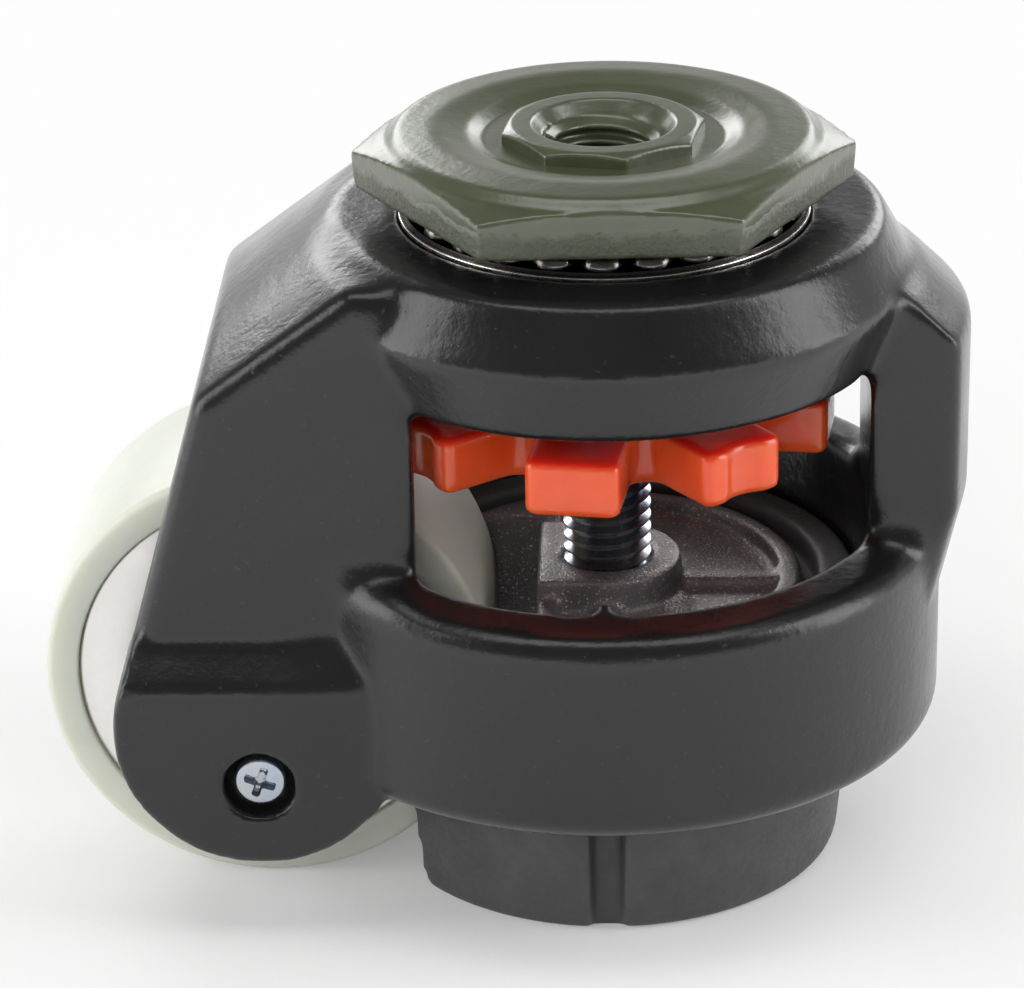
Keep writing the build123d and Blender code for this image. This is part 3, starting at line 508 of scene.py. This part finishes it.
found = pick(housing, folds_inward)
for passes in (14, 11, 8, 6, 4, 2):
    bpy.ops.mesh.select_more()
    bpy.ops.mesh.vertices_smooth(factor=0.5, repeat=passes)
for side in (-1, 1):
    pick(housing, lambda p, v: (p - Vector((-27.5, side * 25.0, 40.5))).length < 4)
    bpy.ops.transform.translate(value=(0, 0, 1.2 * MM), use_proportional_edit=True,
                                proportional_edit_falloff="SMOOTH", proportional_size=8 * MM)
NOSES = [Vector((-29.5, -26.0, 40.0)), Vector((-29.5, 26.0, 40.0)), Vector((33.0, -14.5, 41.0)),
         Vector((33.0, 14.5, 41.0))]
for reach, passes in ((4.0, 16), (5.5, 10), (7.0, 6)):
    pick(housing, lambda p, v: min((p - nose).length for nose in NOSES) < reach)
    bpy.ops.mesh.vertices_smooth(factor=0.5, repeat=passes)
pick(housing, lambda p, v: hypot(p.x + 38, p.z - 25) > 13.6 and abs(p.y) > 24 and p.z < 31 and p.x < -26)
bpy.ops.mesh.vertices_smooth(factor=0.5, repeat=10)
for reach, passes in ((1.8, 22), (2.8, 10)):
    pick(housing, lambda p, v: hypot(hypot(p.x, p.y) - RING_R, p.z - RING_LIP) < reach and p.x > -33)
    bpy.ops.mesh.vertices_smooth(factor=0.5, repeat=passes)
done()
editing(housing)
bpy.ops.mesh.vertices_smooth(factor=0.5, repeat=2)
done()
change(housing, "DECIMATE", ratio=min(1, 185000 / (2 * len(housing.data.polygons))))
only(housing)
bpy.ops.object.shade_smooth()
stands_for(housing, "housing", "housing", "housing_paint", black_paint)
print("points on inner corners:", found)

# %% [markdown]
# ## Olive enamel
# The plate is pressed steel with a thin olive enamel. Its top is smooth with shallow dents. The
# sides were sheared: the upper part is burnished by the punch, and the lower part is torn, so it is
# rough and darker. The torn part is a mask by height, broken up by noise.

# %% Plate enamel
PLATE_BOTTOM, PLATE_T, PLATE_R, HEAD_TURN = 78.9, 5.4, 27.7, 2.2
PLATE_TOP = PLATE_BOTTOM + PLATE_T
enamel, tree, shader, place = new_finish("olive_enamel", (0.056, 0.063, 0.035), 0.28, Specular_IOR_Level=0.95)
height = add(tree, "SeparateXYZ", {0: place}).outputs["Z"]
jag = noise(tree, place, 260, 3, 0.6)
line = arith(tree, "ADD", height, ramp(tree, jag, 0.3, 0.7, -0.0006, 0.0006))
torn = ramp(tree, line, (PLATE_BOTTOM + 3.2) * MM, (PLATE_BOTTOM + 2.4) * MM)
stretched = add(tree, "VectorMath", {0: place, 1: (1, 1, 0.22)}, operation="MULTIPLY").outputs[0]
scores = noise(tree, stretched, 1100, 3, 0.6)
crumble = noise(tree, place, 1500, 3, 0.6)
dents = noise(tree, place, 170, 2)
peel = noise(tree, place, 1300, 2)
mottle = noise(tree, place, 420, 3)
shade = blend_colors(tree, ramp(tree, mottle, 0.3, 0.7), (0.046, 0.055, 0.025), (0.058, 0.068, 0.033))
shade = blend_colors(tree, arith(tree, "MULTIPLY", torn, 0.30), shade, (0.035, 0.036, 0.028))
feed(tree, shade, shader, "Base Color")
feed(tree, ramp(tree, torn, 0, 1, 0.29, 0.52), shader, "Roughness")
rough_side = arith(tree, "MULTIPLY", torn, arith(tree, "ADD", scores, crumble))
relief(tree, shader, [(dents, 0.10), (peel, 0.025), (rough_side, 0.14)])
print(enamel.name)

# %% [markdown]
# ## The mounting plate
# A hexagonal blank is pressed so that its corners fall away like a cone and a crown stands round
# the nut. It is modelled as a tapered hexagonal prism, met by a turned solid for the top.

# %% Plate
plate = prism("mounting_plate_pressed", 6, PLATE_R + 0.35, PLATE_BOTTOM, PLATE_TOP + 3, HEAD_TURN)
draft = tan(radians(7.0))
editing(plate, "DESELECT")
pick(plate, lambda p, v: p.z < 80)
flats = PLATE_R * cos(pi / 6)
low_share = (flats - draft * PLATE_T) / flats
high_share = (flats + draft * 3) / flats
bpy.ops.transform.resize(value=(low_share, low_share, 1), center_override=(0, 0, PLATE_BOTTOM * MM))
done()
blank = turned("plate_top", rounded([
    (0.5, PLATE_BOTTOM - 1, 0), (29.5, PLATE_BOTTOM - 1, 0), (29.5, 82.32, 0), (24.4, PLATE_TOP - 0.10, 1.5),
    (23.9, PLATE_TOP - 0.05, 0.3), (22.7, 85.38, 1.2), (18.4, 85.68, 8.0), (14.9, 85.10, 2.5),
    (13.3, PLATE_TOP, 0.4), (0.5, PLATE_TOP, 0)]), 192)
combine(plate, blank, "INTERSECT")
combine(plate, prism("hole", 96, 9.0, 76, 90), "DIFFERENCE")
soften(plate, 0.31, 2)
stands_for(plate, "mounting_plate", "head", "plate_paint", enamel)

# %% [markdown]
# ## The stem nut
# The octagonal nut is forged in one piece with the hollow kingpin, and its hole is tapped M12. The
# thread is real here: a ridge is swept up a screw line, fused with the bore by a fine remesh, and
# ends in a wide funnel that guides the bolt.

# %% Nut
NUT_R, NUT_TURN, NUT_TOP, THREAD_MOUTH_R, THREAD_R, PITCH = 11.2, 12.0, 85.9, 7.85, 5.1, 1.75
nut = prism("stem_nut_octagon", 8, NUT_R + 0.15, 83.4, NUT_TOP + 1, NUT_TURN)
cone = turned("nut_chamfer", rounded([(0.5, 80, 0), (13.4, 80, 0), (13.4, 84.40, 0),
                                      (10.1, NUT_TOP, 0.35), (0.5, NUT_TOP, 0)]), 160)
combine(nut, cone, "INTERSECT")
bore = turned("nut_bore", [(6.0, 76.0), (6.0, 83.0), (6.25, 83.8), (6.75, 84.6), (7.4, 85.35),
                           (8.3, 86.4)], 128)
combine(nut, bore, "DIFFERENCE")
nut_ridge = helix("nut_thread", [(6.4, -0.80), (6.4, 0.80), (5.15, 0.16), (5.15, -0.16)], PITCH, 2.5, 79.5)
shaft = turned("shaft", [(6.0, 78.6), (8.95, 78.6), (8.95, 83.7), (6.2, 83.7), (6.02, 83.0)], 128, ring=True)
nut = joined("stem_nut_octagon", nut, shaft, nut_ridge)
soften(nut, 0.18, 4)
kingpin = turned("kingpin_bore", [(4.05, 62.3), (10.2, 62.3), (10.2, 63.3), (9.0, 63.3), (9.0, 78.6),
                                  (6.05, 78.6), (6.05, 69.0), (4.05, 67.0)], 96, ring=True)
low_ridge = helix("nut_thread_low", [(6.4, -0.80), (6.4, 0.80), (5.15, 0.16), (5.15, -0.16)], PITCH, 5, 70.4)
tip_steel, tree, shader, place = new_finish("olive_enamel_on_thread", (0.056, 0.062, 0.036), 0.28, Specular_IOR_Level=0.95)
speck = noise(tree, place, 900, 3)
feed(tree, blend_colors(tree, ramp(tree, speck, 0.35, 0.65), (0.044, 0.052, 0.025), (0.062, 0.070, 0.036)),
     shader, "Base Color")
feed(tree, ramp(tree, speck, 0.3, 0.7, 0.26, 0.36), shader, "Roughness")
relief(tree, shader, [(noise(tree, place, 1500, 2), 0.03), (noise(tree, place, 220, 2), 0.08)])
kingpin = edges_shown(joined("kingpin_bore", kingpin, low_ridge))
kingpin.data.materials.append(tip_steel)
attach(kingpin, "head")
stands_for(nut, "stem_nut", "head", "plate_paint", enamel)

# %% [markdown]
# ## Hardened steel
# The races and balls are hardened steel with a cloudy film of grease, and their base colour is kept
# very dark, so they show small sharp highlights. The cup's rim was turned last and stays bright.

# %% Race and ball steel
def greasy_steel(name, color, roughness):
    """Steel with a cloudy film of grease."""
    made, tree, shader, place = new_finish(name, color, roughness, 1.0)
    film = noise(tree, place, 700, 3, 0.6)
    feed(tree, ramp(tree, film, 0.35, 0.7, roughness - 0.06, roughness + 0.16), shader, "Roughness")
    brown = tuple(part * share for part, share in zip(color, (0.52, 0.44, 0.36)))
    feed(tree, blend_colors(tree, ramp(tree, film, 0.40, 0.75), color, brown), shader, "Base Color")
    relief(tree, shader, [(noise(tree, place, 2200, 2), 0.01)])
    return made


race_steel = greasy_steel("race_steel", (0.16, 0.155, 0.15), 0.30)
bright_rim = greasy_steel("bright_rim_steel", (0.97, 0.96, 0.94), 0.24)
ball_steel = greasy_steel("ball_steel", (0.15, 0.145, 0.14), 0.14)

# %% Balls
def ball_row(name, count, track_r, ball_r, height, node, body):
    """One ball is modelled and copied round its track."""
    bpy.ops.object.select_all(action="DESELECT")
    bpy.ops.mesh.primitive_ico_sphere_add(subdivisions=4, radius=ball_r * MM,
                                          location=(track_r * MM, 0, height * MM))
    row = [bpy.context.object]
    bpy.ops.object.transform_apply(location=True)
    for k in range(1, count):
        only(row[0])
        bpy.ops.object.duplicate()
        bpy.context.object.rotation_euler.z = 2 * pi * k / count
        bpy.ops.object.transform_apply(rotation=True)
        row.append(bpy.context.object)
    whole = joined(name, *row)
    only(whole)
    bpy.ops.object.shade_smooth()
    stands_for(whole, node, body, "ball_steel", ball_steel)


ball_row("upper_bearing_balls", 24, 19.5, 2.38, 76.82, "upper_balls", "upper_ball_row")
ball_row("lower_bearing_balls", 20, 14.0, 2.0, 66.94, "lower_balls", "lower_ball_row")
rim = edges_shown(turned("race_cup_rim", rounded([(22.3, 75.9, 0.1), (22.58, 75.9, 0.1), (22.58, 76.42, 0.13),
                                                  (22.3, 76.42, 0.13)], 4), 160, ring=True))
rim.data.materials.append(bright_rim)
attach(rim, "housing")

# %% [markdown]
# ## Zinc
# The levelling screw, the axle and the small hardware are zinc plated with a blue passivation: a
# silvery skin with a slight blue and yellow cloud.

# %% Zinc
zinc, tree, shader, place = new_finish("blue_zinc", (0.36, 0.42, 0.52), 0.20, 1.0)
cloud = noise(tree, place, 160, 4, 0.6)
fine = noise(tree, place, 1800, 2)
feed(tree, blend_colors(tree, ramp(tree, cloud, 0.35, 0.65), (0.32, 0.39, 0.52), (0.46, 0.47, 0.48)),
     shader, "Base Color")
feed(tree, ramp(tree, cloud, 0.3, 0.7, 0.20, 0.32), shader, "Roughness")
relief(tree, shader, [(fine, 0.015), (cloud, 0.05)])

# %% [markdown]
# ## The levelling screw
# An M10 screw with a rolled thread lifts and lowers the foot. One closed tooth is swept up a screw
# line round a plain core, so the thread has its true pitch of 1.5 mm and its flanks of 60 degrees.

# %% Levelling screw
core_bar = turned("levelling_screw_threaded", rounded([(0.4, 17.0, 0), (3.6, 17.0, 0), (4.1, 17.6, 0.2),
                  (4.1, 59.4, 0), (7.0, 59.4, 0.3), (7.0, 61.3, 0.3), (4.0, 61.3, 0), (4.0, 66.7, 0.4),
                  (0.4, 66.7, 0)], 3), 96)
tooth = helix("screw_tooth", [(3.9, -0.70), (3.9, 0.70), (4.95, 0.11), (4.95, -0.11)], 1.5, 20, 18.2, 56)
screw = edges_shown(joined("levelling_screw_threaded", core_bar, tooth), 30)
stands_for(screw, "levelling_screw", "adjuster", "zinc_steel", zinc)

# %% [markdown]
# ## Keeper screws
# Each axle keeper is held by a pan head screw with a cross recess. One screw is modelled with its
# recess cut by two crossed wedges, and copied to the other side.

# %% Keeper screws
near_head = turned("keeper_screw_near", rounded([(0.2, -0.6, 0), (2.84, -0.6, 0.1), (2.84, 0.72, 0.4),
                                                 (0.2, 1.05, 0)], 4), 72)
combine(near_head, box_tool(-1.75, 1.75, -0.40, 0.40, -0.2, 2), "DIFFERENCE")
combine(near_head, box_tool(-0.40, 0.40, -1.75, 1.75, -0.2, 2), "DIFFERENCE")
combine(near_head, prism("middle_cut", 4, 1.0, -0.4, 2), "DIFFERENCE")
soften(near_head, 0.09, 2)
only(near_head)
near_head.rotation_euler = (radians(90), radians(20), 0)
near_head.location = (-38.0 * MM, -25.44 * MM, 18.9 * MM)
bpy.ops.object.transform_apply(location=True, rotation=True)
bpy.ops.object.duplicate()
far_head = bpy.context.object
far_head.name = far_head.data.name = "keeper_screw_far"
far_head.rotation_euler.z = pi
far_head.location = (-76.0 * MM, 0, 0)
bpy.ops.object.transform_apply(location=True, rotation=True)
print("screw heads:", near_head.name, far_head.name)
head_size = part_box("keeper_screw_front")
shank_length = (head_size[1][1] - head_size[0][1]) / MM - 1.5
for piece, node, facing in ((near_head, "keeper_screw_front", 1), (far_head, "keeper_screw_back", -1)):
    shank = prism("shank", 32, 1.45, -shank_length / 2, shank_length / 2)
    only(shank)
    shank.rotation_euler = (radians(90), 0, 0)
    shank.location = (-38.0 * MM, -facing * (25.0 - shank_length / 2) * MM, 18.9 * MM)
    bpy.ops.object.transform_apply(location=True, rotation=True)
    piece = joined(piece.name, piece, shank)
    stands_for(piece, node, "housing", "zinc_steel", zinc)

# %% [markdown]
# ## Red plastic
# The star wheel is moulded in a red acetal that lets a little light through, which a little
# subsurface scattering gives, with faint flow lines and scuffs on the skin. Its colour also holds
# painted light and shade by facing: the sides are painted a lighter orange and the top a deeper red.

# %% Star wheel
red_plastic, tree, shader, place = new_finish("red_acetal", (0.84, 0.070, 0.020), 0.24,
                                              Subsurface_Weight=0.75, Subsurface_Scale=0.0060)
shader.inputs["Subsurface Radius"].default_value = (1.0, 0.16, 0.05)
flow = noise(tree, place, 240, 3, 0.55)
scuff = ramp(tree, noise(tree, place, 700, 4, 0.65), 0.52, 0.72)
# Painted light and shade: by which way each face points, the sides get a lighter orange and the top a deeper
# red.
facing = add(tree, "SeparateXYZ", {0: add(tree, "NewGeometry").outputs["Normal"]}).outputs["Z"]
painted_lit_orange = blend_colors(tree, ramp(tree, flow, 0.3, 0.7), (0.84, 0.092, 0.022), (0.90, 0.125, 0.033))
feed(tree, blend_colors(tree, ramp(tree, facing, 0.25, 0.85), painted_lit_orange, (0.80, 0.030, 0.016)),
     shader, "Base Color")
feed(tree, ramp(tree, scuff, 0, 1, 0.18, 0.26), shader, "Roughness")
relief(tree, shader, [(flow, 0.06), (noise(tree, place, 1400, 2), 0.010)])
star = engineering_copy("star_wheel", "star_wheel_moulded")
soften(star, 0.32, 3)
stands_for(star, "star_wheel", "adjuster", "star_plastic", red_plastic)

# %% [markdown]
# ## Blasted casting
# The foot is a zinc casting, blasted and lightly oxidised. Tiny facets catch the light: the
# grain is a fine noise that drives the relief, and its peaks are painted near white into the base colour as
# painted glints.

# %% Foot casting
cast_metal, tree, shader, place = new_finish("blasted_casting", (0.19, 0.178, 0.182), 0.40, 0.65)
grain = noise(tree, place, 3000, 2, 0.6)
cloud = noise(tree, place, 150, 3)
# Painted glints: the peaks of the grain are painted near white in the base colour.
painted_glint = ramp(tree, grain, 0.60, 0.72)
base = blend_colors(tree, ramp(tree, cloud, 0.35, 0.65), (0.190, 0.174, 0.178), (0.280, 0.260, 0.265))
feed(tree, blend_colors(tree, painted_glint, base, (0.80, 0.78, 0.78)), shader, "Base Color")
feed(tree, ramp(tree, grain, 0.3, 0.7, 0.46, 0.30), shader, "Roughness")
relief(tree, shader, [(grain, 0.16), (cloud, 0.2)])
casting = engineering_copy("foot_casting", "foot_casting_blasted")
soften(casting, 0.40, 7)
stands_for(casting, "foot_casting", "foot", "foot_metal", cast_metal)

# %% [markdown]
# ## Rubber shoe
# The shoe is moulded rubber with a thick sole. It is turned, then cut back for the wheel and
# grooved for the guide key, which stops the foot from turning with the screw.

# %% Rubber shoe
rubber, tree, shader, place = new_finish("black_rubber", (0.030, 0.030, 0.031), 0.55)
bloom = noise(tree, place, 180, 4, 0.6)
pores = noise(tree, place, 1700, 3, 0.6)
feed(tree, blend_colors(tree, ramp(tree, bloom, 0.3, 0.7), (0.038, 0.038, 0.040), (0.058, 0.058, 0.060)),
     shader, "Base Color")
feed(tree, ramp(tree, pores, 0.3, 0.7, 0.48, 0.66), shader, "Roughness")
relief(tree, shader, [(pores, 0.035), (bloom, 0.12)])
pad = turned("rubber_shoe", rounded([
    (0.5, 0, 0), (26.2, 0, 1.5), (27.9, 17, 6), (27.9, 32.8, 0.6), (23.8, 32.8, 0.5), (23.8, 29.8, 0),
    (22.15, 29.8, 0), (22.15, 6.0, 0), (0.5, 6.0, 0)]), 160)
combine(pad, box_tool(-60, -7.9, -16, 16, -1, 34), "DIFFERENCE")
groove = box_tool(-1.55, 1.55, -29, -24.7, -1, 34)
editing(groove, "DESELECT")
pick(groove, lambda p, v: p.y < -28)
bpy.ops.transform.resize(value=(1.565, 1, 1), center_override=(0, 0, 0))
done()
combine(pad, groove, "DIFFERENCE")
soften(pad, 0.50, 3)
stands_for(pad, "foot_pad", "foot", "pad_rubber", rubber)

# %% [markdown]
# ## Nylon tyre
# The tyre is cast nylon, ivory and a little translucent, so its edges look soft and bright. Rolling
# has left fine scratches round it and a little dirt.

# %% Wheel
nylon, tree, shader, place = new_finish("ivory_nylon", (0.62, 0.64, 0.56), 0.38,
                                        Subsurface_Weight=0.5, Subsurface_Scale=0.003)
shader.inputs["Subsurface Radius"].default_value = (1.0, 0.85, 0.6)
around_axle = add(tree, "VectorMath", {0: place, 1: (0.25, 1, 0.25)}, operation="MULTIPLY").outputs[0]
tracks = noise(tree, around_axle, 1500, 4, 0.6)
dirt = ramp(tree, noise(tree, place, 260, 4, 0.6), 0.55, 0.80)
feed(tree, blend_colors(tree, arith(tree, "MULTIPLY", dirt, 0.15), (0.62, 0.64, 0.56), (0.42, 0.40, 0.34)),
     shader, "Base Color")
feed(tree, ramp(tree, tracks, 0.3, 0.7, 0.32, 0.46), shader, "Roughness")
relief(tree, shader, [(tracks, 0.015), (noise(tree, place, 140, 2), 0.06)])


def lay_on_axle(piece):
    """Turn a piece made about Z so that it lies round the wheel's axle."""
    only(piece)
    piece.rotation_euler = (radians(90), 0, 0)
    piece.location = (-38.0 * MM, 0, 25.0 * MM)
    bpy.ops.object.transform_apply(location=True, rotation=True)
    return edges_shown(piece)


tyre = turned("nylon_tyre", rounded([
    (21.3, -12.25, 0.3), (25, -12.25, 0.9), (25, 12.25, 0.9), (21.3, 12.25, 0.3), (21.3, 2.5, 0),
    (20.1, 2.5, 0), (20.1, -2.5, 0), (21.3, -2.5, 0)]), 256, ring=True)
stands_for(lay_on_axle(tyre), "wheel_tyre", "wheel", "tyre_nylon", nylon)

turned_metal, tree, shader, place = new_finish("turned_core_metal", (0.78, 0.77, 0.75), 0.42, 0.7)
centred = add(tree, "VectorMath", {0: place, 1: (-0.038, 0, 0.025)}, operation="SUBTRACT").outputs[0]
rings = add(tree, "TexWave", {"Vector": centred, "Scale": 1500, "Distortion": 1.2, "Detail": 2},
            wave_type="RINGS", rings_direction="Y").outputs[1]
cloud = noise(tree, place, 300, 3)
feed(tree, ramp(tree, cloud, 0.3, 0.7, 0.32, 0.46), shader, "Roughness")
feed(tree, blend_colors(tree, ramp(tree, cloud, 0.3, 0.7), (0.74, 0.73, 0.71), (0.82, 0.81, 0.79)),
     shader, "Base Color")
relief(tree, shader, [(rings, 0.006), (cloud, 0.04)])
core = turned("wheel_core_turned", rounded([
    (6, -10.65, 0), (8.5, -10.65, 0), (8.5, -11.65, 0.3), (21.25, -11.65, 0.4), (21.25, -2.5, 0),
    (20.1, -2.5, 0), (20.1, 2.5, 0), (21.25, 2.5, 0), (21.25, 11.65, 0.4), (8.5, 11.65, 0.3),
    (8.5, 10.65, 0), (6, 10.65, 0)]), 192, ring=True)
stands_for(lay_on_axle(core), "wheel_core", "wheel", "core_metal", turned_metal)

# %% [markdown]
# ## Pieces kept from the engineering model
# Small hardware and the pieces inside look right as they are, and only need their finish. The
# bushes are white acetal; the axle, keepers, pins and washers are zinc plated.

# %% Small pieces
acetal, tree, shader, place = new_finish("white_acetal", (0.74, 0.73, 0.70), 0.40)
haze = noise(tree, place, 500, 3)
feed(tree, ramp(tree, haze, 0.3, 0.7, 0.34, 0.46), shader, "Roughness")
feed(tree, blend_colors(tree, haze, (0.70, 0.69, 0.66), (0.78, 0.77, 0.74)), shader, "Base Color")
relief(tree, shader, [(haze, 0.02)])
kept = {"upper_race_cup": race_steel, "lower_race_cup": race_steel, "lower_race_cone": race_steel,
        "wheel_bush_front": acetal, "wheel_bush_back": acetal, "axle": zinc, "axle_keeper_front": zinc,
        "axle_keeper_back": zinc, "spacer_front": zinc, "spacer_back": zinc, "star_pin": zinc,
        "thrust_washer": zinc, "snap_ring": zinc}
for name, material in kept.items():
    nodes[name].data.materials.clear()
    nodes[name].data.materials.append(material)
print("kept:", len(kept), "pieces")
